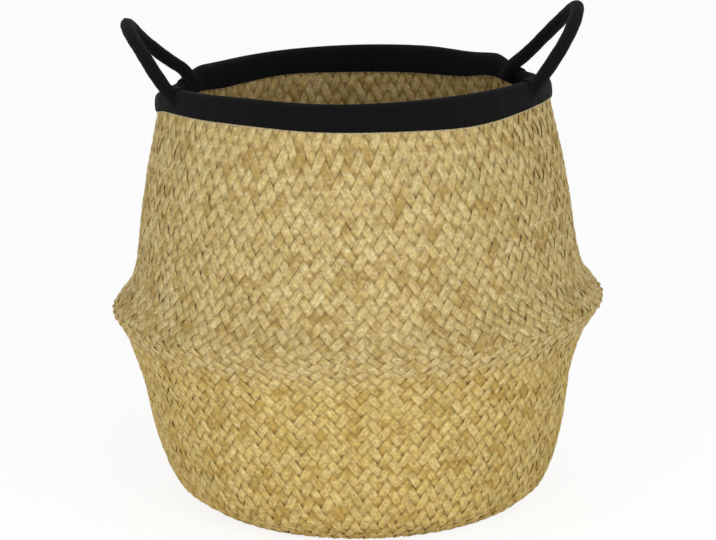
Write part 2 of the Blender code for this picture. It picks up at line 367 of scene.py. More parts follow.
def cord_piece(
    name: str,
    centres: np.ndarray,
    outward: np.ndarray,
    half: np.ndarray | float,
    sides: int,
    closed: bool = False,
) -> bpy.types.Object:
    """Skin round cords and keep what their finish reads.

    Args:
        name: The piece's name.
        centres: Ring centres, shaped cords by rings by 3.
        outward: A direction square to each cord, of the same shape.
        half: Half the cords' thickness.
        sides: How many points a section has.
        closed: Whether each cord joins up with its own start.

    Returns:
        The piece.
    """
    piece = loft(name, section_rings(centres, outward, half, half, sides, closed), closed)
    store_lie(piece, CORD_PLACE, centres, np.arange(sides) / sides, np.zeros(len(centres)))
    return piece


def linear(colour: Rgb) -> tuple[float, float, float, float]:
    """Turn a colour as a screen shows it, 0 to 255, into the shader's linear colour.

    Args:
        colour: The red, green and blue shares.

    Returns:
        Red, green, blue and alpha.
    """
    shares = [value / 255 for value in colour]
    lit = [s / 12.92 if s <= 0.04045 else ((s + 0.055) / 1.055) ** 2.4 for s in shares]
    return (*lit, 1.0)


class NodeSheet:
    """Adds nodes to one tree and joins them."""

    def __init__(self, tree: bpy.types.NodeTree) -> None:
        """Keep the tree that nodes are added to."""
        self.tree = tree

    def add(self, kind: str, *values: object, **settings: object) -> bpy.types.Node:
        """Add a node.

        Args:
            kind: The node's type, without the ShaderNode that starts it.
            values: What its inputs are fed, in their order.
            settings: Properties to set on it.

        Returns:
            The node.
        """
        prefix = "" if kind.startswith("NodeGroup") else "ShaderNode"
        node = self.tree.nodes.new(prefix + kind)
        for key, value in settings.items():
            setattr(node, key, value)
        for socket, value in zip(node.inputs, values):
            self.feed(socket, value)
        return node

    def feed(self, socket: Socket, value: Socket | float | tuple) -> None:
        """Join an output to a socket, or set a constant on it.

        Args:
            socket: The input.
            value: The output to join, or the constant.
        """
        if isinstance(value, bpy.types.NodeSocket):
            self.tree.links.new(value, socket)
        else:
            socket.default_value = value

    def fill(self, node: bpy.types.Node, **values: object) -> None:
        """Feed a node's inputs by name, with underscores for the spaces of their names."""
        for key, value in values.items():
            self.feed(node.inputs[key.replace("_", " ")], value)

    def attribute(self, name: str) -> Socket:
        """Read a vector that is kept at each point of a piece."""
        return self.add("Attribute", attribute_name=name).outputs["Vector"]

    def parts(self, vector: Socket) -> bpy.types.bpy_prop_collection:
        """Split a vector into its three numbers."""
        return self.add("SeparateXYZ", vector).outputs

    def maths(self, operation: str, *numbers: Socket | float) -> Socket:
        """Work out one operation of the Math node."""
        return self.add("Math", *numbers, operation=operation).outputs[0]

    def spread(
        self, value: Socket, low: float, high: float, start: float = 0.0, end: float = 1.0
    ) -> Socket:
        """Turn values from low to high smoothly into values from start to end."""
        node = self.add("MapRange", value, low, high, start, end, interpolation_type="SMOOTHSTEP")
        return node.outputs["Result"]

    def stretch(self, place: Socket, scale: Triple) -> Socket:
        """Scale a place along each of its three numbers."""
        return self.add("VectorMath", place, scale, operation="MULTIPLY").outputs["Vector"]

    def noise(self, place: Socket, scale: float, detail: float = 2.0, rough: float = 0.5) -> Socket:
        """Add a noise.

        Args:
            place: Where it is read.
            scale: Its scale.
            detail: How many finer layers it has.
            rough: How strong those are.

        Returns:
            The noise, 0 to 1.
        """
        node = self.add("TexNoise")
        self.fill(node, Vector=place, Scale=scale, Detail=detail, Roughness=rough)
        return node.outputs["Fac"]

    def mix(
        self, share: Socket | float, first: Colour, second: Colour, mode: str = "MIX"
    ) -> Socket:
        """Mix two colours.

        Args:
            share: How much of the second there is.
            first: The first colour.
            second: The second colour.
            mode: The blend mode.

        Returns:
            The mixed colour.
        """
        node = self.add("Mix", share, data_type="RGBA", blend_type=mode)
        for socket, colour in zip((node.inputs[6], node.inputs[7]), (first, second)):
            self.feed(socket, colour)
        return node.outputs[2]

    def tint(self, tone: Socket, colour: Rgb, mask: Socket, share: float) -> Socket:
        """Mix a share of a colour into a tone where a mask lies."""
        return self.mix(self.maths("MULTIPLY", mask, share), tone, linear(colour))

    def bump(self, height: Socket, distance: float, strength: float) -> Socket:
        """Turn a height into a normal.

        Args:
            height: The height, 0 to 1.
            distance: What a height of 1 stands for, in metres.
            strength: How strongly it shows.

        Returns:
            The normal.
        """
        node = self.add("Bump")
        self.fill(node, Strength=strength, Distance=distance, Height=height)
        return node.outputs["Normal"]


class EffectGroup:
    """A shader node group with named inputs and outputs, built once and used by several finishes."""

    def __init__(self, name: str, inputs: dict[str, str], outputs: tuple[str, ...]) -> None:
        """Make the group's sockets.

        Args:
            name: The group's name.
            inputs: Each input's name and its kind, Float or Vector.
            outputs: The outputs' names; they are all numbers.
        """
        self.tree = bpy.data.node_groups.new(name, "ShaderNodeTree")
        for direction, sockets in (("INPUT", inputs), ("OUTPUT", dict.fromkeys(outputs, "Float"))):
            for label, kind in sockets.items():
                self.tree.interface.new_socket(
                    name=label, in_out=direction, socket_type="NodeSocket" + kind
                )
        self.sheet = NodeSheet(self.tree)
        self.given = self.sheet.add("NodeGroupInput").outputs
        self.end = self.sheet.add("NodeGroupOutput")

    def give(self, **values: Socket) -> "EffectGroup":
        """Feed the group's outputs by name, and return the group."""
        self.sheet.fill(self.end, **values)
        return self

    def place(self, sheet: NodeSheet, **values: object) -> bpy.types.bpy_prop_collection:
        """Put the group into a material.

        Args:
            sheet: The material's node sheet.
            values: What its inputs are fed, with underscores for the spaces of their names.

        Returns:
            The group node's outputs.
        """
        node = sheet.add("Group", node_tree=self.tree)
        sheet.fill(node, **values)
        return node.outputs


@dataclass
class Effects:
    """The effects that several finishes share, and the numbers that they keep to themselves."""

    streak_scales: Triple = (70.0, 5.5, 57.0)
    streak_range: Pair = (0.32, 0.68)
    streak_relief: float = 0.7
    leaf_spacing: float = 91.0
    leaf_range: Pair = (0.3, 0.7)
    leaf_relief: float = 0.3
    # Where painted shade falls on a strand: near its edges, and where it dives under its neighbours
    edge_shade_range: Pair = (0.6, 1.0)
    dive_shade_range: Pair = (0.75, -0.2)
    patch_range: Pair = (0.52, 0.72)
    lint_scale: float = 900.0
    lint_range: Pair = (0.58, 0.75)
    slub_scales: Triple = (120.0, 900.0, 1.0)
    slub_relief: float = 0.5
    groove_shade_width: float = 0.5

    def __post_init__(self) -> None:
        """Build every group."""
        self.fibre = self.build_fibre()
        self.drift = self.build_drift()
        self.cloth = self.build_cloth()
        self.lay = self.build_lay()

    def build_fibre(self) -> EffectGroup:
        """Build the fine streaks and leaf tones of a plant strand, with painted shade at its edges
        and where it dives under its neighbours.

        Returns:
            The group.
        """
        group = EffectGroup(
            "plant_fibre",
            {"Strand Place": "Vector", "Strand Lift": "Vector", "Leaf Length": "Float"},
            ("Streak", "Leaf Tone", "Edge", "Dive", "Height"),
        )
        sheet = group.sheet
        place = group.given["Strand Place"]
        crown = sheet.parts(group.given["Strand Lift"])[0]
        along, across, mark = sheet.parts(place)
        fine = sheet.noise(sheet.stretch(place, self.streak_scales), 1.0, detail=3.0, rough=0.6)
        streak = sheet.spread(fine, *self.streak_range)
        leaves = sheet.maths("DIVIDE", along, group.given["Leaf Length"])
        leaf = sheet.add("CombineXYZ", leaves, sheet.maths("MULTIPLY", mark, self.leaf_spacing))
        tone = sheet.spread(sheet.noise(leaf.outputs[0], 1.0, detail=1.5), *self.leaf_range)
        rib = sheet.maths("MULTIPLY", streak, self.streak_relief)
        return group.give(
            Streak=streak,
            Leaf_Tone=tone,
            Edge=sheet.spread(sheet.maths("ABSOLUTE", across), *self.edge_shade_range),
            Dive=sheet.spread(crown, *self.dive_shade_range),
            Height=sheet.maths("ADD", rib, sheet.maths("MULTIPLY", tone, self.leaf_relief)),
        )

    def build_drift(self) -> EffectGroup:
        """Build the slow colour drift of a natural material over the whole piece.

        Returns:
            The group.
        """
        group = EffectGroup(
            "slow_drift",
            {"Rest Place": "Vector", "Patch Size": "Float"},
            ("Patch", "Height Above Floor"),
        )
        sheet = group.sheet
        place = group.given["Rest Place"]
        patch = sheet.noise(place, sheet.maths("DIVIDE", 1.0, group.given["Patch Size"]))
        height = sheet.parts(place)[2]
        return group.give(Patch=sheet.spread(patch, *self.patch_range), Height_Above_Floor=height)

    def build_cloth(self) -> EffectGroup:
        """Build the plain weave and the lint of a cotton cloth.

        Returns:
            The group.
        """
        group = EffectGroup(
            "plain_weave",
            {"Cloth Place": "Vector", "Thread Spacing": "Float"},
            ("Height", "Thread", "Lint"),
        )
        sheet = group.sheet
        place = group.given["Cloth Place"]
        waves = []
        for part in sheet.parts(place)[:2]:
            threads = sheet.maths("DIVIDE", part, group.given["Thread Spacing"])
            waves.append(sheet.maths("SINE", sheet.maths("MULTIPLY", threads, 2 * math.pi)))
        woven = sheet.maths("MULTIPLY_ADD", sheet.maths("MULTIPLY", *waves), 0.5, 0.5)
        lint = sheet.noise(place, self.lint_scale, detail=3.0, rough=0.7)
        slub = sheet.noise(sheet.stretch(place, self.slub_scales), 1.0)
        return group.give(
            Height=sheet.maths("ADD", woven, sheet.maths("MULTIPLY", slub, self.slub_relief)),
            Thread=woven,
            Lint=sheet.spread(lint, *self.lint_range),
        )

    def build_lay(self) -> EffectGroup:
        """Build the slanting yarns of a twisted cord, with painted shade in the grooves between
        them.

        Returns:
            The group.
        """
        group = EffectGroup(
            "twisted_lay",
            {"Cord Place": "Vector", "Yarn Slant": "Float", "Yarns": "Float"},
            ("Height", "Groove"),
        )
        sheet = group.sheet
        along, around, _ = sheet.parts(group.given["Cord Place"])
        climb = sheet.maths("DIVIDE", along, group.given["Yarn Slant"])
        turns = sheet.maths("MULTIPLY", sheet.maths("ADD", around, climb), group.given["Yarns"])
        sine = sheet.maths("SINE", sheet.maths("MULTIPLY", turns, math.pi))
        wave = sheet.maths("ABSOLUTE", sine)
        return group.give(Height=wave, Groove=sheet.spread(wave, 0.0, self.groove_shade_width, 1.0, 0.0))


def blank_material(name: str) -> tuple[bpy.types.Material, NodeSheet, bpy.types.Node]:
    """Make a material with one Principled shader.

    Args:
        name: The material's name.

    Returns:
        The material, its node sheet and its shader.
    """
    material = bpy.data.materials.new(name)
    material.use_nodes = True
    shader = material.node_tree.nodes["Principled BSDF"]
    return material, NodeSheet(material.node_tree), shader


@dataclass(frozen=True)
class Speckle:
    """Small patches of another colour, where a noise rises from low to high."""

    colour: Rgb
    scale: float
    low: float
    high: float
    share: float
    detail: float = 3.0
    rough: float = 0.5

    def over(self, sheet: NodeSheet, tone: Socket, place: Socket) -> Socket:
        """Lay the patches over a tone."""
        noise = sheet.noise(place, self.scale, self.detail, self.rough)
        return sheet.tint(tone, self.colour, sheet.spread(noise, self.low, self.high), self.share)


@dataclass(frozen=True)
class SeagrassFinish:
    """Dry plaited seagrass, golden under the belly ridge and a greyer tan above it."""

    name: str
    pale: Rgb
    mid: Rgb
    dark: Rgb
    green: Rgb = (204, 190, 122)
    fibre_dark_and_gap_shade: Rgb = FIBRE_DARK_AND_GAP_SHADE
    gold: Rgb = (255, 252, 232)
    spots: Speckle = Speckle((190, 152, 94), 130.0, 0.60, 0.72, 0.5)
    mottle: Speckle = Speckle(FIBRE_DARK_AND_GAP_SHADE, 380.0, 0.40, 0.64, 0.4, rough=0.65)
    glints: Speckle = Speckle((255, 242, 198), 270.0, 0.55, 0.70, 0.4, detail=2.0)
    gold_from: float = 0.140
    gold_to: float = 0.118
    leaf_length: float = 0.016
    dark_under: float = 0.3
    patch_size: float = 0.022
    patch_share: float = 0.4
    streak_share: float = 0.34
    # How much painted shade falls at a strand's edges and where it dives under
    edge_shade_share: float = 0.2
    dive_shade_share: float = 0.5
    roughness: Pair = (0.78, 0.6)
    specular: float = 0.15
    relief: float = 0.00025
    relief_strength: float = 0.7

    def material(self, effects: Effects) -> bpy.types.Material:
        """Build the material.

        Args:
            effects: The shared effects.

        Returns:
            The material.
        """
        material, sheet, shader = blank_material(self.name)
        lie = sheet.attribute(STRAND_PLACE)
        lift = sheet.attribute(STRAND_LIFT)
        rest = sheet.attribute(REST_PLACE)
        fibre = effects.fibre.place(
            sheet, Strand_Place=lie, Strand_Lift=lift, Leaf_Length=self.leaf_length
        )
        drift = effects.drift.place(sheet, Rest_Place=rest, Patch_Size=self.patch_size)
        tone = sheet.mix(fibre["Leaf Tone"], linear(self.mid), linear(self.pale))
        darker = sheet.spread(fibre["Leaf Tone"], self.dark_under, 0.0)
        tone = sheet.mix(darker, tone, linear(self.dark))
        tone = sheet.tint(tone, self.green, drift["Patch"], self.patch_share)
        tone = self.spots.over(sheet, tone, rest)
        streaked = sheet.mix(self.streak_share, tone, linear(self.fibre_dark_and_gap_shade), "MULTIPLY")
        tone = sheet.mix(fibre["Streak"], streaked, tone)
        tone = self.mottle.over(sheet, tone, rest)
        tone = self.glints.over(sheet, tone, rest)
        # Painted shade at a strand's edges, between it and its neighbours
        tone = sheet.tint(tone, self.fibre_dark_and_gap_shade, fibre["Edge"], self.edge_shade_share)
        # Painted shade where a strand dives under its neighbours, at the ends of its floats
        tone = sheet.tint(tone, self.fibre_dark_and_gap_shade, fibre["Dive"], self.dive_shade_share)
        low = sheet.spread(drift["Height Above Floor"], self.gold_from, self.gold_to)
        golden = sheet.mix(1.0, tone, linear(self.gold), "MULTIPLY")
        sheet.fill(
            shader,
            Base_Color=sheet.mix(low, tone, golden),
            Roughness=sheet.spread(fibre["Streak"], 0.0, 1.0, *self.roughness),
            Specular_IOR_Level=self.specular,
            Normal=sheet.bump(fibre["Height"], self.relief, self.relief_strength),
        )
        return material


@dataclass(frozen=True)
class ClothFinish:
    """Plain-woven black cotton."""

    name: str
    cloth: Cloth
    black: Rgb = (6, 6, 7)
    lint: Rgb = (30, 30, 32)
    thread_spacing: float = 0.0009
    # How dark the painted shade between the threads is, as a share of the cloth's colour
    between_threads_shade: float = 0.6
    lint_share: float = 0.35
    roughness: Pair = (0.95, 0.8)
    specular: float = 0.15
    sheen: float = 0.01
    sheen_roughness: float = 0.5
    relief: float = 0.0002
    relief_strength: float = 0.8

    def material(self, effects: Effects) -> bpy.types.Material:
        """Build the material.

        Args:
            effects: The shared effects.

        Returns:
            The material.
        """
        material, sheet, shader = blank_material(self.name)
        lie = sheet.attribute(CLOTH_PLACE)
        weave = effects.cloth.place(sheet, Cloth_Place=lie, Thread_Spacing=self.thread_spacing)
        base = tuple(round(part * self.cloth.value) for part in self.black)
        # Painted shade between the threads of the weave
        thread_gap_shade = tuple(round(part * self.between_threads_shade) for part in base)
        tone = sheet.mix(weave["Thread"], linear(thread_gap_shade), linear(base))
        sheet.fill(
            shader,
            Base_Color=sheet.tint(tone, self.lint, weave["Lint"], self.lint_share),
            Roughness=sheet.spread(weave["Thread"], 0.0, 1.0, *self.roughness),
            Specular_IOR_Level=self.specular,
            Sheen_Weight=self.sheen,
            Sheen_Roughness=self.sheen_roughness,
            Normal=sheet.bump(weave["Height"], self.relief, self.relief_strength),
        )
        return material


@dataclass(frozen=True)
class CordFinish:
    """Undyed twisted cotton, as thread or as rope."""

    name: str
    pale: Rgb
    groove: Rgb
    slant: float
    yarns: float
    relief: float
    hair_scale: float = 700.0
    hair_share: float = 0.4
    roughness: Pair = (0.7, 0.9)
    specular: float = 0.3
    relief_strength: float = 0.8

    def material(self, effects: Effects) -> bpy.types.Material:
        """Build the material.

        Args:
            effects: The shared effects.

        Returns:
            The material.
        """
        material, sheet, shader = blank_material(self.name)
        lie = sheet.attribute(CORD_PLACE)
        twist = effects.lay.place(sheet, Cord_Place=lie, Yarn_Slant=self.slant, Yarns=self.yarns)
        # Painted shade in the grooves between the yarns
        tone = sheet.mix(twist["Groove"], linear(self.pale), linear(self.groove))
        hairy = sheet.noise(lie, self.hair_scale, detail=3.0)
        hair = sheet.spread(hairy, 0.4, 0.8, 0.0, self.hair_share)
        sheet.fill(
            shader,
            Base_Color=sheet.mix(hair, tone, linear(self.groove)),
            Roughness=sheet.spread(hairy, 0.2, 0.8, *self.roughness),
            Specular_IOR_Level=self.specular,
            Normal=sheet.bump(twist["Height"], self.relief, self.relief_strength),
        )
        return material


@dataclass(frozen=True)
class RimSwell:
    """A place where the soft rim rises or falls, by its angle and half width in degrees."""

    angle: float
    half_width: float
    top: float
    foot: float
    steepness: float = 2.0


RIM_SWELLS = (
    RimSwell(11.8, 19.8, -0.0105, -0.0021, 6.0),
    RimSwell(41, 13, 0.0, 0.0048),
    RimSwell(48, 11, -0.0020, -0.0030),
    RimSwell(113, 15, 0.0, 0.0022),
    RimSwell(139, 6, 0.0, -0.0006),
    RimSwell(143, 16, -0.0014, 0.0),
    RimSwell(154, 7, 0.0, 0.0016),
    RimSwell(173.2, 20.3, -0.0104, -0.0034, 6.0),
    RimSwell(205, 16, 0.0015, 0.0018),
    RimSwell(235, 22, 0.0030, 0.0025),
    RimSwell(275, 30, 0.0012, 0.0),
    RimSwell(308, 22, 0.0, -0.0042),
)


@dataclass(frozen=True)
class WallSwell:
    """A place where the wall stands out or in, by its angle in degrees and its height."""

    angle: float
    half_width: float
    height: float
    half_height: float
    out: float


WALL_SWELLS = (
    WallSwell(0, 45, 0.100, 0.036, -0.0050),
    WallSwell(180, 45, 0.120, 0.020, 0.0018),
    WallSwell(180, 45, 0.055, 0.035, 0.0027),
    WallSwell(180, 45, 0.002, 0.010, -0.0028),
)


@dataclass(frozen=True)
class BasketShape:
    """The driving sizes and the outlines of the plaited body and its rim."""

    foot_radius: float = 0.1160
    ridge_radius: float = 0.180
    ridge_height: float = 0.1475
    body_height: float = 0.315
    wall_thickness: float = 0.003
    foot_rounding: float = 0.0035
    rim_radius: float = 0.1445
    wall_rim_radius: float = 0.1420
    wall_top: float = 0.3095
    binding_height: float = 0.0175
    binding_thickness: float = 0.008
    corner_draw: float = 0.007
    front_draw: float = 0.001
    side_drop: float = 0.0024
    foot_shift: float = 0.0022
    rim_shift: float = -0.0009
    rim_tightening: float = 0.0006
    ridge_tilt: float = 0.0028
    ridge_lift: float = 0.0008
    outline_step: float = 0.001
    corner_rounding: float = 0.004
    # Shares of the ridge height, and of the step from the foot to the ridge
    lower_shares: tuple[Pair, ...] = (
        (0.000, 0.000),
        (0.033, 0.127),
        (0.100, 0.320),
        (0.200, 0.422),
        (0.333, 0.508),
        (0.500, 0.600),
        (0.665, 0.685),
        (0.800, 0.768),
        (0.880, 0.834),
        (0.940, 0.925),
        (1.000, 1.000),
    )
    # Shares of the height from the ridge to the binding, and of the step inwards there
    upper_shares: tuple[Pair, ...] = (
        (0.000, 1.000),
        (0.030, 0.955),
        (0.076, 0.805),
        (0.122, 0.655),
        (0.175, 0.575),
        (0.241, 0.512),
        (0.334, 0.455),
        (0.499, 0.375),
        (0.731, 0.220),
        (0.838, 0.130),
        (1.000, 0.000),
    )

    @property
    def binding_foot(self) -> float:
        """The height of the binding's lower edge."""
        return self.body_height - self.binding_height

    @property
    def binding_middle(self) -> float:
        """The radius half way through the binding."""
        return self.rim_radius - self.binding_thickness / 2

    @property
    def arch_height(self) -> float:
        """The height at which the binding starts to turn over the rim."""
        return self.body_height - self.binding_thickness / 2

    def lower_outline(self) -> np.ndarray:
        """Return the wall's outer outline from the ridge down to the floor, and in under it."""
        step = self.ridge_radius - self.foot_radius
        points = [(self.foot_radius + r * step, h * self.ridge_height) for h, r in self.lower_shares]
        under = (self.foot_radius - self.foot_rounding, 0.0)
        return softened(np.array([under] + points)[::-1], self.outline_step, self.corner_rounding)

    def upper_outline(self) -> np.ndarray:
        """Return the wall's outer outline from the ridge up into the binding."""
        step = self.ridge_radius - self.wall_rim_radius
        rise = self.binding_foot - self.ridge_height
        points = [
            (self.wall_rim_radius + r * step, self.ridge_height + h * rise)
            for h, r in self.upper_shares
        ]
        points.append((self.wall_rim_radius, self.wall_top))
        return softened(np.array(points), self.outline_step, self.corner_rounding)

    def rim_weight(self, height: np.ndarray) -> np.ndarray:
        """Return how much of the soft rim's unevenness a height has, 0 to 1."""
        return smooth_step((height - self.ridge_height) / (self.body_height - self.ridge_height))

    def ridge_weight(self, height: np.ndarray) -> np.ndarray:
        """Return how much of the ridge's tilt a height has, 1 at the ridge and 0 at both edges."""
        above = smooth_step((self.binding_foot - height) / (self.binding_foot - self.ridge_height))
        return smooth_step(height / self.ridge_height) * above

    @staticmethod
    def nearness(
        angle: np.ndarray, middle: float, half_width: float, steepness: float = 2.0
    ) -> np.ndarray:
        """Return 1 at one angle, in degrees, and a fall to 0 beside it, flat topped where steep."""
        away = np.degrees(np.angle(np.exp(1j * (angle - math.radians(middle)))))
        return np.exp(-(np.abs(away / half_width) ** steepness))

    def place(self, angle: np.ndarray, radius: np.ndarray, height: np.ndarray) -> np.ndarray:
        """Place points of the round body with the soft rim's unevenness.

        Args:
            angle: Angles about the basket's axis.
            radius: Distances from it.
            height: Heights above the floor.

        Returns:
            Points, with three numbers in the last axis.
        """
        weight = self.rim_weight(height)
        corner = self.corner_draw * (1 - np.cos(4 * angle)) / 2
        front = self.front_draw * (1 - np.cos(2 * angle)) / 2
        edge = smooth_step((height - self.binding_foot) / (self.arch_height - self.binding_foot))
        lift = self.side_drop * np.cos(angle)
        for swell in RIM_SWELLS:
            near = self.nearness(angle, swell.angle, swell.half_width, swell.steepness)
            lift = lift + near * (swell.foot + (swell.top - swell.foot) * edge)
        tilt = self.ridge_lift + self.ridge_tilt * np.cos(angle)
        reach = radius - weight * (corner + front + self.rim_tightening)
        for swell in WALL_SWELLS:
            near = self.nearness(angle, swell.angle, swell.half_width)
            near = near * np.exp(-(((height - swell.height) / swell.half_height) ** 2))
            reach = reach + swell.out * near * np.minimum(radius / self.foot_radius, 1.0)
        shift = self.foot_shift + (self.rim_shift - self.foot_shift) * height / self.body_height
        rise = weight * lift + self.ridge_weight(height) * tilt
        return joined(reach * np.cos(angle) + shift, reach * np.sin(angle), height + rise)


@dataclass
class WallSkin:
    """A part of the plaited wall as a grid of columns round it and levels up it.

    Column and level lines cross where two strands cross. Level 0 is the belly ridge, where the
    outer outline starts. The strands of a family lie a pitch apart, side by side, and no level
    is higher than tallest_level.
    """

    shape: BasketShape
    outline: np.ndarray
    strands: int
    pitch: float
    tallest_level: float
    downwards: bool
    lump_seed: int = 7
    lump_waves: int = 8
    lump_paces: Pair = (10, 45)
    lump_height: float = 0.0011
    lump_fade: float = 0.03

    def __post_init__(self) -> None:
        """Measure the levels along the outline."""
        spans = np.hypot(*np.diff(self.outline, axis=0).T)
        turned = -1.0 if self.downwards else 1.0
        self.normals = right_of(self.outline) * turned
        self.middle = self.outline - self.normals * self.shape.wall_thickness / 2
        half_column = math.pi * self.middle[:, 0] / self.strands
        slack = 4 * half_column**2 - self.pitch**2
        steepest = (self.pitch * half_column / self.tallest_level) ** 2
        level_height = self.pitch * half_column / np.sqrt(np.maximum(slack, steepest))
        counts = spans * 2 / (level_height[1:] + level_height[:-1])
        self.levels = np.concatenate([[0.0], np.cumsum(counts)]) * turned
        self.pitches = 2 * half_column * level_height / np.hypot(half_column, level_height)

    def read(self, levels: np.ndarray, values: np.ndarray) -> np.ndarray:
        """Read values that are kept along the outline at other levels."""
        order = np.argsort(self.levels)
        return np.interp(levels, self.levels[order], values[order])

    def lumps(self, angle: np.ndarray, height: np.ndarray) -> np.ndarray:
        """Return how far the handmade wall stands out of true.

        Args:
            angle: Angles about the basket's axis.
            height: Heights above the floor.

        Returns:
            Distances in metres.
        """
        draw = np.random.default_rng(self.lump_seed)
        total = np.zeros(np.broadcast(angle, height).shape)
        for wave in range(2, self.lump_waves + 1):
            phase = draw.uniform(0, 2 * math.pi, 2)
            pace = draw.uniform(*self.lump_paces)
            total += np.cos(wave * angle + phase[0]) * np.cos(pace * height + phase[1]) / wave
        fade = smooth_step((self.shape.binding_foot - height) / self.lump_fade)
        fade = fade * smooth_step(height / self.lump_fade)
        return self.lump_height * total * fade

    def sample(self, columns: np.ndarray, levels: np.ndarray) -> tuple[np.ndarray, ...]:
        """Place points on the wall's middle.

        Args:
            columns: Column numbers, with parts of a column between them.
            levels: Level numbers, of the same shape.

        Returns:
            The points, the normals out of the wall and the strand pitch at each.
        """
        angle = math.pi * columns / self.strands
        values = (*self.middle.T, *self.normals.T, self.pitches)
        radius, height, out, up, pitch = (self.read(levels, value) for value in values)
        normals = unit(joined(out * np.cos(angle), out * np.sin(angle), up))
        places = self.shape.place(angle, radius, height)
        return places + normals * self.lumps(angle, height)[..., None], normals, pitch


@dataclass
class PlaitedBody:
    """The plaited bottom and walls, strand by strand in a two-over two-under twill."""

    shape: BasketShape
    effects: Effects
    strands: int = 136
    lower_pitch: float = 0.00590
    upper_pitch: float = 0.00620
    tallest_level: float = 0.0082
    strand_thickness: float = 0.0017
    crossing_lift: float = 0.00078
    width_share: float = 1.05
    least_width_share: float = 1.02
    width_wander: float = 0.13
    thickness_wander: float = 0.12
    column_wander: float = 0.085
    tilt_wander: float = math.radians(9.0)
    kink: float = 0.07
    squareness: float = 2.7
    strand_sides: int = 8
    rings_to_a_level: int = 2
    floor_gap: float = 0.0001
    blend_gap: float = 0.008
    mat_pitch: float = 0.0061
    mat_edge_gap: float = 0.0006
    mat_seed: int = 31
    # How many levels the slowest wave of each unevenness runs over
    column_wave: float = 17.0
    kink_wave: float = 1.7
    width_wave: float = 9.0
    thickness_wave: float = 6.0
    tilt_wave: float = 5.0

    def build(self) -> list[bpy.types.Object]:
        """Build, dress and seat every plaited piece.

        Returns:
            The pieces.
        """
        # Two copies of the seagrass; the lower one is about 4 % brighter, painted light for the
        # brighter lower wall
        upper = SeagrassFinish("seagrass_upper", (248, 228, 162), (234, 206, 134), (212, 182, 110))
        lower = SeagrassFinish("seagrass_lower", (255, 234, 170), (244, 215, 138), (222, 190, 114))
        upper_material = upper.material(self.effects)
        lower_material = lower.material(self.effects)
        low = self.skin(self.shape.lower_outline(), True)
        high = self.skin(self.shape.upper_outline(), False)
        pieces = []
        for climb in Climb:
            way = climb.name.lower()
            piece = self.strand_family(f"lower_strands_{way}", low, climb)
            piece.data.materials.append(lower_material)
            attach(piece, "lower_basket")
            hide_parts("lower_wall")
            pieces.append(piece)
            piece = self.strand_family(f"upper_strands_{way}", high, climb)
            piece.data.materials.append(upper_material)
            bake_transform(piece)
            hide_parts("upper_wall")
            pieces.append(piece)
        mat = self.mat()
        mat.data.materials.append(lower_material)
        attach(mat, "lower_basket")
        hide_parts("woven_base")
        return [*pieces, mat]

    def skin(self, outline: np.ndarray, downwards: bool) -> WallSkin:
        """Lay the grid of crossings on an outline that runs from the ridge, down or up."""
        pitch = self.lower_pitch if downwards else self.upper_pitch
        return WallSkin(self.shape, outline, self.strands, pitch, self.tallest_level, downwards)

    @property
    def wave_height(self) -> float:
        """How far out of the plait's middle a strand swings."""
        return self.crossing_lift * math.sqrt(2)

    def flattening(self) -> np.ndarray:
        """Return how far a strand's section stands out past an oval, at each of its sides."""
        turn = full_turn(self.strand_sides)
        corner = np.abs(np.cos(turn)) ** self.squareness + np.abs(np.sin(turn)) ** self.squareness
        return corner ** (-1 / self.squareness)

    def over_and_under(self, columns: np.ndarray) -> np.ndarray:
        """Return how far out of the wall's middle a strand passes, over two and under two."""
        return self.wave_height * np.sin(math.pi * (columns + 0.5) / 2)

    def strand_family(self, name: str, skin: WallSkin, climb: Climb) -> bpy.types.Object:
        """Build all strands of a part of the wall that climb the same way.

        Args:
            name: The piece's name.
            skin: The grid of crossings.
            climb: The way they climb.

        Returns:
            The piece.
        """
        low, high = sorted((skin.levels[0], skin.levels[-1]))
        inner = np.arange(math.ceil(low * self.rings_to_a_level + 0.5), high * self.rings_to_a_level)
        marks = np.concatenate([[low], inner / self.rings_to_a_level, [high]])
        levels = np.broadcast_to(marks, (self.strands, len(marks)))
        seed = STRAND_SEEDS[climb]
        wander = self.column_wander * unevenness(levels / self.column_wave, seed)
        columns = 2 * np.arange(self.strands)[:, None] + climb.value * levels
        centres, normals, pitch = skin.sample(columns + wander, levels)
        lift = climb.value * self.over_and_under(columns)
        centres = centres + normals * lift[..., None]
        kinks = self.kink * unevenness(levels / self.kink_wave, seed + 4, 2)
        wider = 1 + self.width_wander * unevenness(levels / self.width_wave, seed + 1) + kinks
        width = pitch * np.maximum(self.width_share * wider, self.least_width_share)
        thicker = 1 + self.thickness_wander * unevenness(levels / self.thickness_wave, seed + 2)
        thickness = self.strand_thickness * (thicker - kinks)
        roll = self.tilt_wander * unevenness(levels / self.tilt_wave, seed + 3)[..., None]
        sideways = unit(np.cross(normals, tangents(centres)))
        facing = normals * np.cos(roll) + sideways * np.sin(roll)
        points = self.strand_rings(centres, facing, width / 2, thickness / 2)
        return self.finish_strands(name, points, centres, lift, seed)

    def strand_rings(
        self,
        centres: np.ndarray,
        facing: np.ndarray,
        half_width: np.ndarray | float,
        half_thickness: np.ndarray | float,
    ) -> np.ndarray:
        """Place a strand's flat section round each of its ring centres."""
        sizes = (half_width, half_thickness, self.strand_sides)
        return section_rings(centres, facing, *sizes, reach=self.flattening())

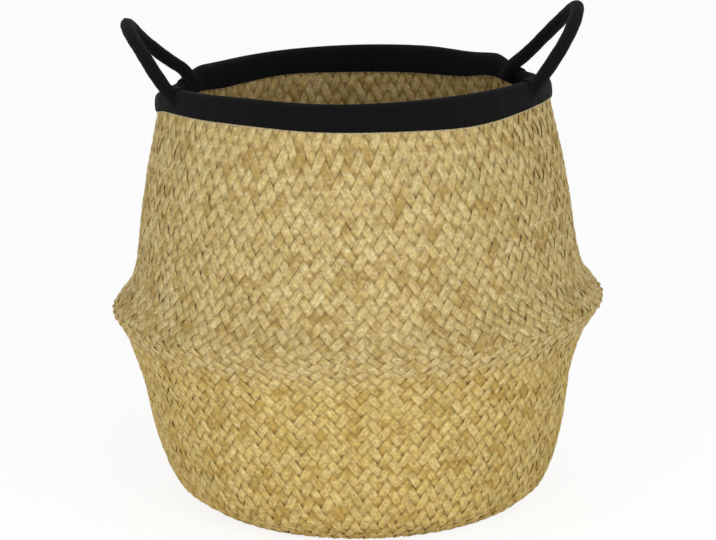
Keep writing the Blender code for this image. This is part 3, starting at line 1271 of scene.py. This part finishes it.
    def finish_strands(
        self, name: str, points: np.ndarray, centres: np.ndarray, lift: np.ndarray, seed: int
    ) -> bpy.types.Object:
        """Skin strands and keep what their finish reads.

        Args:
            name: The piece's name.
            points: Their ring points.
            centres: Their ring centres.
            lift: How far each ring stands out of the plait's middle.
            seed: The seed of their tones.

        Returns:
            The piece.
        """
        points[..., 2] = np.maximum(points[..., 2], self.floor_gap)
        piece = loft(name, points)
        turn = full_turn(self.strand_sides)
        tones = np.random.default_rng(seed).uniform(0, 1, len(centres))
        store_lie(piece, STRAND_PLACE, centres, np.cos(turn), tones)
        # The lift, kept for the painted shade where a strand dives under its neighbours
        crown = lift[..., None] / self.wave_height * np.sign(np.sin(turn))
        store(piece, STRAND_LIFT, joined(crown, 0.0, 0.0))
        store_rest(piece)
        return piece

    def mat(self) -> bpy.types.Object:
        """Build the flat round mat of the bottom.

        Returns:
            The piece.
        """
        reach = self.shape.foot_radius - self.shape.foot_rounding - self.mat_edge_gap
        height = self.wave_height + self.strand_thickness / 2
        half_count = int(reach / self.mat_pitch)
        number = np.arange(-half_count, half_count + 1)[:, None] + 0.0
        aside = number * self.mat_pitch
        run = np.linspace(-1, 1, 2 * self.rings_to_a_level * half_count)
        along = np.sqrt(reach**2 - aside**2) * run
        lift = self.over_and_under(number + along / self.mat_pitch)
        first = joined(aside, along, height + lift)
        second = joined(along, aside, height - lift)
        centres = np.concatenate([first, second])
        half_width = self.mat_pitch * self.width_share / 2
        points = self.strand_rings(centres, UPRIGHT, half_width, self.strand_thickness / 2)
        east, north, up = np.moveaxis(points, -1, 0)
        points = self.shape.place(np.arctan2(north, east), np.hypot(east, north), up)
        rise = np.concatenate([lift, -lift])
        return self.finish_strands("bottom_mat", points, centres, rise, self.mat_seed)


@dataclass
class RimBinding:
    """The black cloth folded over the rim, its filler cord and its two stitch lines."""

    shape: BasketShape
    effects: Effects
    cloth: float = 0.0014
    bulge: float = 0.0002
    inner_extra: float = 0.0035
    stitches: int = 146
    steps_to_a_stitch: int = 6
    stitch_share: float = 0.66
    stitch_dive: float = 0.0016
    stitch_slant: float = 0.0002
    stitch_thinning: float = 0.25
    thread_radius: float = 0.00062
    thread_gap: float = 0.0007
    pucker: float = 0.00035
    pucker_reach: float = 0.006
    wrinkle: float = 0.0003
    wrinkle_waves: tuple[int, ...] = (17, 23, 31, 44, 59)
    wrinkle_swell: float = 0.6
    wrinkle_seed: int = 5
    cord_radius: float = 0.0015
    cord_lays: int = 75
    steps_to_a_lay: int = 12

    def build(self) -> list[bpy.types.Object]:
        """Build, dress and seat every piece of the rim.

        Returns:
            The pieces.
        """
        binding = self.band()
        cloth = ClothFinish("black_cloth_binding", Cloth.BINDING)
        binding.data.materials.append(cloth.material(self.effects))
        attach(binding, "rim")
        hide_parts("rim_binding")
        # The thread's second colour is painted shade in its grooves and the tone of its darker hairs
        thread = CordFinish("pale_thread", (222, 208, 168), (150, 130, 88), 0.0016, 3.0, 0.0001)
        thread_material = thread.material(self.effects)
        pieces = [binding]
        for name, outwards in (("outer_stitch_line", 1), ("inner_stitch_line", -1)):
            line = self.stitch_line(name.replace("line", "thread"), outwards)
            line.data.materials.append(thread_material)
            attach(line, "rim")
            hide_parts(name)
            pieces.append(line)
        cord = self.filler_cord()
        rope = CordFinish("rope_core_rim", ROPE_PALE, ROPE_GROOVE_SHADE_AND_HAIR, 0.004, 2.0, 0.0002)
        cord.data.materials.append(rope.material(self.effects))
        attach(cord, "rim")
        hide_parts("rim_cord")
        return [*pieces, cord]

    def section(self) -> np.ndarray:
        """Return the folded cloth's section as rows of radius and height, outside first."""
        shape = self.shape
        half = shape.binding_thickness / 2
        straight = shape.arch_height - shape.binding_foot
        rise = np.linspace(0, 1, 9)
        belly = self.bulge * np.sin(math.pi * rise)
        outside = joined(shape.rim_radius + belly, shape.binding_foot + rise * straight)
        turn = np.linspace(0, math.pi, 11)[1:-1]
        over = shape.arch_height + half * np.sin(turn)
        arch = joined(shape.binding_middle + half * np.cos(turn), over)
        inside = outside[::-1].copy()
        inside[:, 0] = 2 * shape.binding_middle - inside[:, 0]
        longer = 1 + self.inner_extra / straight
        inside[:, 1] = shape.arch_height - (shape.arch_height - inside[:, 1]) * longer
        skin = np.vstack([outside, arch, inside])
        lining = skin - right_of(skin) * self.cloth
        return np.vstack([skin, lining[::-1]])

    def band(self) -> bpy.types.Object:
        """Build the folded cloth, drawn in at each stitch and wrinkled where it turns.

        Returns:
            The piece.
        """
        section = self.section()
        radius, height = section.T
        angle = full_turn(self.stitches * self.steps_to_a_stitch)[:, None]
        side = np.sign(radius - self.shape.binding_middle)
        above_foot = height - self.shape.binding_foot
        near_foot = 1 - smooth_step(above_foot / self.pucker_reach)
        drawn = np.cos(self.stitches * angle) * 0.5 + 0.5
        draw = np.random.default_rng(self.wrinkle_seed)
        folds = np.zeros(angle.shape)
        for wave in self.wrinkle_waves:
            phase = draw.uniform(0, 2 * math.pi)
            folds = folds + np.cos(wave * angle + phase) / len(self.wrinkle_waves)
        swell = np.sin(math.pi * above_foot / self.shape.binding_height)
        folds = side * self.wrinkle * folds * (1 + self.wrinkle_swell * swell)
        radius = radius - side * self.pucker * near_foot * drawn + folds
        points = self.shape.place(angle, radius, height)
        piece = loft("rim_binding_cloth", points[None], closed=True)
        around = angle * self.shape.rim_radius
        store(piece, CLOTH_PLACE, joined(around, lengths_along(section), 0.0))
        return piece

    def stitch_line(self, name: str, outwards: int) -> bpy.types.Object:
        """Build a row of stitches just under the binding.

        Args:
            name: The piece's name.
            outwards: 1 on the outside of the wall, -1 on the inside.

        Returns:
            The piece.
        """
        inside = outwards < 0
        pitch = 2 * math.pi / self.stitches
        run = np.linspace(-1, 1, 9)
        middle = pitch * (np.arange(self.stitches)[:, None] + 0.5)
        angle = middle + run * pitch * self.stitch_share / 2
        height = self.shape.binding_foot - self.thread_radius * 1.1 - inside * self.inner_extra
        wall_radius, wall_height = self.shape.upper_outline().T
        wall = np.interp(height, wall_height, wall_radius) - inside * self.shape.wall_thickness
        dive = self.stitch_dive * np.abs(run) ** 6
        radius = wall + outwards * (self.thread_radius + self.thread_gap - dive)
        centres = self.shape.place(angle, radius, height + self.stitch_slant * run)
        half = self.thread_radius * (1 - self.stitch_thinning * np.abs(run) ** 4)
        return cord_piece(name, centres, level_outward(centres), half, 8)

    def filler_cord(self) -> bpy.types.Object:
        """Build the twisted cord on the wall's edge, in the fold of the binding.

        Returns:
            The piece.
        """
        low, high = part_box("rim_cord")
        LOG.info("the filler cord lies at %.4f to %.4f m", low.z, high.z)
        height = self.shape.wall_top + self.cord_radius
        angle = full_turn(self.cord_lays * self.steps_to_a_lay)
        half = self.cord_radius * 0.5
        turn = self.cord_lays * angle + full_turn(3)[:, None]
        radius = self.shape.binding_middle + half * np.cos(turn)
        centres = self.shape.place(angle, radius, height + half * np.sin(turn))
        return cord_piece("rim_filler_cord", centres, level_outward(centres), half * 1.05, 6, True)


@dataclass(frozen=True)
class HandleLie:
    """How a handle stands: its roots, its rise, its lean and the bow of each leg.

    The back root lies further in and lower than the front one, by back_in and back_drop. The
    back leg sweeps in further by back_sweep where it meets the rim.
    """

    root_out: float
    root_height: float
    rise: float
    lean: float
    back_in: float
    back_drop: float
    back_sweep: float
    front_bow: float
    back_bow: float


HANDLE_LIES = {
    Side.LEFT: HandleLie(
        root_out=0.1314, root_height=0.3135, rise=0.0504, lean=math.radians(38.8),
        back_in=0.0016, back_drop=0.0040, back_sweep=0.0038, front_bow=-0.0013, back_bow=0.0028,
    ),
    Side.RIGHT: HandleLie(
        root_out=0.1272, root_height=0.3123, rise=0.0593, lean=math.radians(35.0),
        back_in=0.0064, back_drop=0.0038, back_sweep=0.0040, front_bow=0.0013, back_bow=0.0017,
    ),
}


@dataclass
class RopeHandle:
    """One rope handle in its cloth cover, with its two ends sewn to the binding."""

    shape: BasketShape
    effects: Effects
    side: Side
    finish: bpy.types.Material
    core_finish: bpy.types.Material
    rope_radius: float = 0.0049
    cover_cloth: float = 0.0009
    root_half_span: float = 0.0563
    roundness: float = 1.7
    root_depth: float = 0.0095
    bend_reach: float = 0.013
    sweep_reach: float = 0.010
    steps: int = 96
    cover_sides: int = 20
    seam_height: float = 0.0005
    seam_turn: float = math.radians(200)
    seam_half_width: float = 0.22
    crease_spacing: float = 0.0062
    crease_depth: float = 0.035
    crease_wander: float = 1.5
    crease_pace: float = 210.0
    # Each lump's depth, its pace along the rope, its phase and its turns round it
    lumps: tuple[tuple[float, ...], ...] = ((0.02, 160, 0, 2), (0.015, 410, 1, 1))
    core_turns: int = 6
    core_rings_short: int = 3
    strand_share: float = 0.46
    tab_half_width: float = 0.0075
    tab_cloth: float = 0.0007
    tab_gap: float = 0.0004
    tab_height: float = 0.0125
    tab_crown: float = 0.0008
    tab_half_length: float = 0.02

    @property
    def label(self) -> str:
        """The side's name in lower case."""
        return self.side.name.lower()

    @property
    def lie(self) -> HandleLie:
        """How this handle stands."""
        return HANDLE_LIES[self.side]

    @property
    def upwards(self) -> np.ndarray:
        """The direction in which the arch rises and leans out."""
        return np.array([self.side.value * math.sin(self.lie.lean), 0.0, math.cos(self.lie.lean)])

    @property
    def square(self) -> np.ndarray:
        """The direction square to the plane of the arch."""
        return np.cross(np.array([0.0, 1.0, 0.0]), self.upwards) * self.side.value

    def build(self) -> list[bpy.types.Object]:
        """Build, dress and seat the handle's pieces.

        Returns:
            The pieces.
        """
        centres = self.path()
        pieces = [self.cover(centres), self.core(centres)]
        for piece, part in zip(pieces, ("cover", "core")):
            self.hang(piece)
            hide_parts(f"{self.label}_handle_{part}")
        for end, place in ((-1, "front"), (1, "back")):
            tab = self.tab(f"{self.label}_{place}_handle_tab", end)
            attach(tab, "rim")
            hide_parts(f"{self.label}_{place}_handle_end")
            pieces.append(tab)
        return pieces

    def hang(self, piece: bpy.types.Object) -> None:
        """Bake a piece of the rope's place into its mesh."""
        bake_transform(piece)

    def path(self) -> np.ndarray:
        """Return the centre line of the rope, from inside the binding at the front to the back."""
        side = self.side.value
        turn = np.linspace(0, math.pi, 721)
        power = 2 / self.roundness
        across = -np.sign(np.cos(turn)) * np.abs(np.cos(turn)) ** power * self.root_half_span
        rise = self.lie.rise * np.sin(turn) ** power
        behind = np.clip(across / self.root_half_span, 0.0, 1.0)
        middle = np.array([side * self.lie.root_out, 0.0, self.lie.root_height])
        shift = np.array([-side * self.lie.back_in, 0.0, -self.lie.back_drop])
        arch = middle + rise[:, None] * self.upwards + behind[:, None] * shift
        near_root = behind * np.exp(-((rise / self.sweep_reach) ** 2))
        arch[:, 0] -= side * self.lie.back_sweep * near_root
        arch[:, 1] += across
        bow = np.where(across > 0, self.lie.back_bow, self.lie.front_bow) * np.sin(2 * turn) ** 2
        arch = arch + bow[:, None] * self.square
        dive = -self.upwards * self.root_depth
        line = spaced_evenly(np.vstack([arch[0] + dive, arch, arch[-1] + dive]), self.steps)
        rounded = line.copy()
        rounded[1:-1] = (line[:-2] + 2 * line[1:-1] + line[2:]) / 4
        return rounded

    def cover(self, centres: np.ndarray) -> bpy.types.Object:
        """Build the cloth cover, with its seam and its creases on the inside of the bend.

        Args:
            centres: The rope's centre line.

        Returns:
            The piece.
        """
        turn = full_turn(self.cover_sides)
        along = lengths_along(centres)[:, None]
        from_seam = np.angle(np.exp(1j * (turn - self.seam_turn)))
        seam = np.exp(-((from_seam / self.seam_half_width) ** 2))
        wander = self.crease_wander * np.sin(along * self.crease_pace)
        crease = 0.5 + 0.5 * np.sin(2 * math.pi * along / self.crease_spacing + wander)
        lumpy = sum(d * np.sin(along * pace + start + n * turn) for d, pace, start, n in self.lumps)
        inner_turn = 0.0 if self.side is Side.RIGHT else math.pi
        reach = 1 + seam * self.seam_height / self.rope_radius + lumpy
        reach = reach - self.crease_depth * crease * (0.5 + 0.5 * np.cos(turn - inner_turn))
        sizes = (self.rope_radius, self.rope_radius, self.cover_sides)
        outside = section_rings(centres[None], self.square, *sizes, reach=reach[None])
        piece = loft(f"{self.label}_handle_cover_cloth", outside)
        piece.data.materials.append(self.finish)
        store_lie(piece, CLOTH_PLACE, centres[None], turn * self.rope_radius, np.zeros(1))
        return piece

    def core(self, centres: np.ndarray) -> bpy.types.Object:
        """Build the three-strand rope inside the cover.

        Args:
            centres: The rope's centre line.

        Returns:
            The piece.
        """
        line = centres[self.core_rings_short:-self.core_rings_short][None]
        along = tangents(line)
        across = unit(np.cross(self.square, along))
        up = np.cross(along, across)
        half = (self.rope_radius - self.cover_cloth) * self.strand_share
        phase = np.linspace(0, 2 * math.pi * self.core_turns, line.shape[1])
        turn = (phase + full_turn(3)[:, None])[..., None]
        lines = line + half * (np.cos(turn) * across + np.sin(turn) * up)
        piece = cord_piece(f"{self.label}_handle_rope", lines, self.square, half, 10)
        piece.data.materials.append(self.core_finish)
        return piece

    def tab(self, name: str, end: int) -> bpy.types.Object:
        """Build the cloth tab that holds one rope end down on the binding.

        Args:
            name: The piece's name.
            end: -1 at the front and 1 at the back.

        Returns:
            The piece.
        """
        root_out = self.lie.root_out - (self.lie.back_in + self.lie.back_sweep if end > 0 else 0.0)
        root_angle = math.atan2(self.root_half_span, root_out)
        middle = end * root_angle if self.side is Side.RIGHT else math.pi - end * root_angle
        outer = self.shape.rim_radius + self.tab_gap
        half = self.shape.binding_thickness / 2 + self.tab_gap
        top = self.shape.body_height
        turn = np.linspace(0, math.pi, 13)
        crown = top - half + self.tab_crown + half * np.sin(turn)
        down = np.linspace(top - self.tab_height, top - half, 6)[:-1]
        inside = joined(outer - 2 * half, down)[::-1]
        over = joined(outer - half + half * np.cos(turn), crown)
        skin = np.vstack([joined(outer, down), over, inside])
        share = np.linspace(-1, 1, 15)[:, None]
        angle = middle + share * self.tab_half_width / self.shape.rim_radius
        run = np.linspace(-1, 1, len(skin))
        edge = (1 - np.abs(share) ** 6) * (1 - np.abs(run) ** 10)
        lift = self.tab_cloth * (0.25 + 0.75 * edge)
        above = self.shape.place(angle, *(skin.T[:, None] + right_of(skin).T[:, None] * lift))
        below = self.shape.place(angle, *skin.T)
        piece = loft(name, np.concatenate([above, below[:, ::-1]], axis=1)[None])
        piece.data.materials.append(self.finish)
        around = np.concatenate([run, run[::-1]]) * self.tab_half_length
        store(piece, CLOTH_PLACE, joined(share * self.tab_half_width, around, 0.0))
        return piece


@dataclass
class Studio:
    """The camera, the pale floor and the soft light."""

    image_width: int = 716
    focal_pixels: float = 2647.0
    centre_column: float = 357.1
    camera_place: Triple = (0.0, -1.896, 0.621)
    camera_tilt: float = math.radians(13.42)
    camera_roll: float = math.radians(-0.86)
    nearest: float = 0.05
    sensor: float = 36.0
    world_strength: float = 0.43
    floor_size: float = 6.0
    floor_tone: float = 0.92
    shown_floor_tone: float = 0.28
    shown_floor_glow: float = 0.84
    lamps_face: Triple = (0.0, 0.0, 0.16)

    def build(self) -> None:
        """Set up the camera, the floor, the lights and the world."""
        self.camera()
        self.floor()
        self.world()
        self.lamp("left_light", (-1.25, -2.0, 0.22), 0.9, 17.0)
        self.lamp("right_light", (1.1, -2.0, 0.75), 1.5, 15.5)
        bpy.context.scene.view_settings.view_transform = "Standard"

    def camera(self) -> None:
        """Stand the camera where the photograph was taken from."""
        lens = bpy.data.cameras.new("camera")
        lens.sensor_fit = "HORIZONTAL"
        lens.sensor_width = self.sensor
        lens.lens = self.focal_pixels / self.image_width * self.sensor
        lens.shift_x = (self.image_width / 2 - self.centre_column) / self.image_width
        lens.clip_start = self.nearest
        place = Matrix.Translation(self.camera_place)
        tilt = Matrix.Rotation(math.pi / 2 - self.camera_tilt, 4, "X")
        item = put("camera", lens)
        item.matrix_world = place @ tilt @ Matrix.Rotation(self.camera_roll, 4, "Z")
        bpy.context.scene.camera = item

    def floor(self) -> None:
        """Lay a pale floor that keeps the basket's shadow."""
        half = self.floor_size / 2
        mesh = bpy.data.meshes.new("floor")
        corners = [(-half, -half, 0), (half, -half, 0), (half, half, 0), (-half, half, 0)]
        mesh.from_pydata(corners, [], [(0, 1, 2, 3)])
        item = put("floor", mesh)
        material = bpy.data.materials.new("pale_floor")
        sheet = self.cleared(material)
        plain = sheet.add("BsdfDiffuse", (*[self.floor_tone] * 3, 1))
        seen = sheet.add("BsdfDiffuse", (*[self.shown_floor_tone] * 3, 1))
        glow = sheet.add("Emission", WHITE, self.shown_floor_glow)
        both = sheet.add("AddShader", seen.outputs[0], glow.outputs[0])
        self.show(sheet, plain, both, "OutputMaterial")
        mesh.materials.append(material)

    def world(self) -> None:
        """Make a white surrounding that lights the basket evenly."""
        world = bpy.data.worlds.new("studio")
        sheet = self.cleared(world)
        lit = sheet.add("Background", WHITE, self.world_strength)
        self.show(sheet, lit, sheet.add("Background", WHITE, 1.0), "OutputWorld")
        bpy.context.scene.world = world

    @staticmethod
    def cleared(owner: bpy.types.Material | bpy.types.World) -> NodeSheet:
        """Empty the nodes of a material or a world.

        Args:
            owner: The material or the world.

        Returns:
            Its node sheet.
        """
        owner.use_nodes = True
        owner.node_tree.nodes.clear()
        return NodeSheet(owner.node_tree)

    @staticmethod
    def show(sheet: NodeSheet, other: bpy.types.Node, seen: bpy.types.Node, end: str) -> None:
        """Give the rays that see the background one shader, and all other rays another.

        Args:
            sheet: The node sheet.
            other: The shader for all other rays.
            seen: The shader for camera, gloss and transmission rays.
            end: The type of the output node.
        """
        path = sheet.add("LightPath").outputs
        first = sheet.maths("MAXIMUM", path["Is Camera Ray"], path["Is Glossy Ray"])
        mask = sheet.maths("MAXIMUM", first, path["Is Transmission Ray"])
        pick = sheet.add("MixShader", mask, other.outputs[0], seen.outputs[0])
        sheet.add(end, pick.outputs[0])

    def lamp(self, name: str, place: Triple, size: float, power: float) -> None:
        """Hang a soft square light that faces the basket.

        Args:
            name: The light's name.
            place: Where it hangs.
            size: Its side.
            power: Its power in watts.
        """
        light = bpy.data.lights.new(name, "AREA")
        light.shape = "SQUARE"
        light.size = size
        light.energy = power
        item = put(name, light)
        item.location = place
        aim = Vector(self.lamps_face) - Vector(place)
        item.rotation_euler = aim.to_track_quat("-Z", "Y").to_euler()


def report(pieces: list[bpy.types.Object]) -> None:
    """Log each piece with its size in points and faces.

    Args:
        pieces: The pieces.
    """
    for piece in pieces:
        mesh = piece.data
        LOG.info("%s: %d points, %d faces", piece.name, len(mesh.vertices), len(mesh.polygons))


def main() -> None:
    """Build the basket and its studio, and report each piece."""
    logging.basicConfig(level=logging.INFO, format="%(name)s: %(message)s")
    Studio().build()
    shape = BasketShape()
    effects = Effects()
    report(PlaitedBody(shape, effects).build())
    report(RimBinding(shape, effects).build())
    cloth = ClothFinish("black_cloth_handle", Cloth.HANDLE).material(effects)
    rope = CordFinish("rope_core_handle", ROPE_PALE, ROPE_GROOVE_SHADE_AND_HAIR, 0.012, 6.0, 0.0004)
    core = rope.material(effects)
    for side in Side:
        report(RopeHandle(shape, effects, side, cloth, core).build())


if __name__ == "__main__":
    main()
